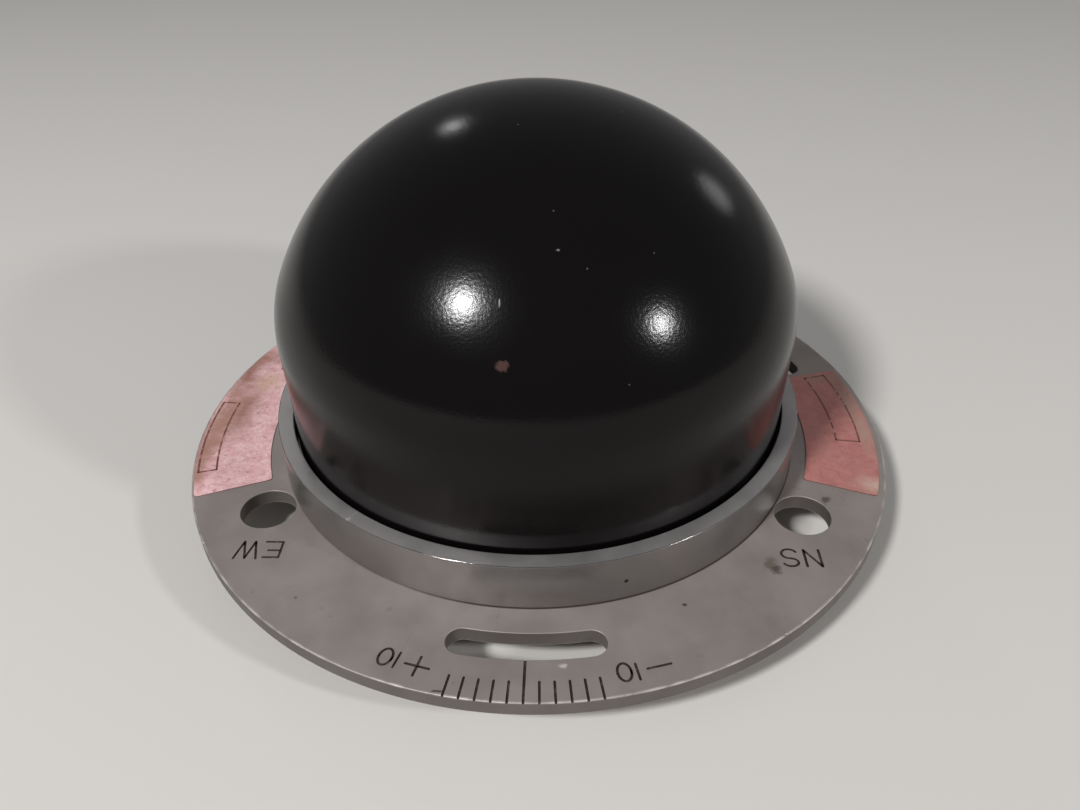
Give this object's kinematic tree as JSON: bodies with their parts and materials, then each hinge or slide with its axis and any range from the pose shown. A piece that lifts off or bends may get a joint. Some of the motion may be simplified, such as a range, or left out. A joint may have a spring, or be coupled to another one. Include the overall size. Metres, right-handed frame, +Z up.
{
  "type": "aircraft compass transmitter",
  "caption": "Remote compass sensing unit: sealed black domed bowl clamped on a round flange with curved index slots, holding a pendulous spider-shaped sensing element on a universal joint.",
  "frame": {"origin": "centre of the rear cover's resting face, as the unit stands in the picture with its bowl up", "axes": "+Z up through the crown of the bowl; -Y towards the zero mark of the index, which marks the fore-and-aft line; +X towards the access hole marked NS"},
  "size_m": [0.1206, 0.1206, 0.0675],
  "materials": {
    "cast_aluminium": "dull blasted, handled and stained",
    "turned_aluminium": "satin turned",
    "black_enamel": "glossy black enamel with a fine grain",
    "black_rubber": "matt",
    "nickelled_brass": "dull nickel plate, not magnetic",
    "bare_brass": "satin turned",
    "brown_phenolic": "moulded, semi-matt",
    "pivot_steel": "ground, not magnetic",
    "core_alloy": "annealed nickel-iron laminations",
    "cream_nylon": "moulded",
    "copper_winding": "varnished enamelled wire"
  },
  "bodies": {
    "case": {"mounting_flange": "cast_aluminium", "bowl": "black_enamel", "bowl_seal": "black_rubber", "clamp_ring": "turned_aluminium", "rear_cover": "turned_aluminium", "rear_gasket": "black_rubber", "cover_screws": "nickelled_brass", "cable_grommet": "black_rubber", "terminal_block": "brown_phenolic", "terminal_gasket": "black_rubber", "terminal_studs": "bare_brass", "terminal_screws": "nickelled_brass", "block_screws": "nickelled_brass", "filler_plug": "nickelled_brass", "filler_washer": "black_rubber", "pivot_hanger": "turned_aluminium", "hanger_screws": "nickelled_brass", "hanger_bushes": "bare_brass"},
    "gimbal": {"gimbal_block": "nickelled_brass", "roll_pins": "pivot_steel", "pitch_pins": "pivot_steel"},
    "pendulum": {"pendulum_fork": "turned_aluminium", "pendulum_bushes": "bare_brass", "lower_core": "core_alloy", "upper_core": "core_alloy", "centre_core": "core_alloy", "collector_horns": "core_alloy", "excitation_bobbin": "cream_nylon", "excitation_coil": "copper_winding", "pickup_bobbins": "cream_nylon", "pickup_coils": "copper_winding", "pendulum_weight": "bare_brass", "stack_bolts": "nickelled_brass", "stack_nuts": "nickelled_brass"}
  },
  "joints": [
    {"name": "roll_pivot", "type": "hinge", "parent": "case", "child": "gimbal", "pos_m": [0, 0, 0.0225], "axis": [0, 1, 0], "range_deg": [-25, 25]},
    {"name": "pitch_pivot", "type": "hinge", "parent": "gimbal", "child": "pendulum", "pos_m": [0, 0, 0.0225], "axis": [1, 0, 0], "range_deg": [-25, 25]}
  ]
}
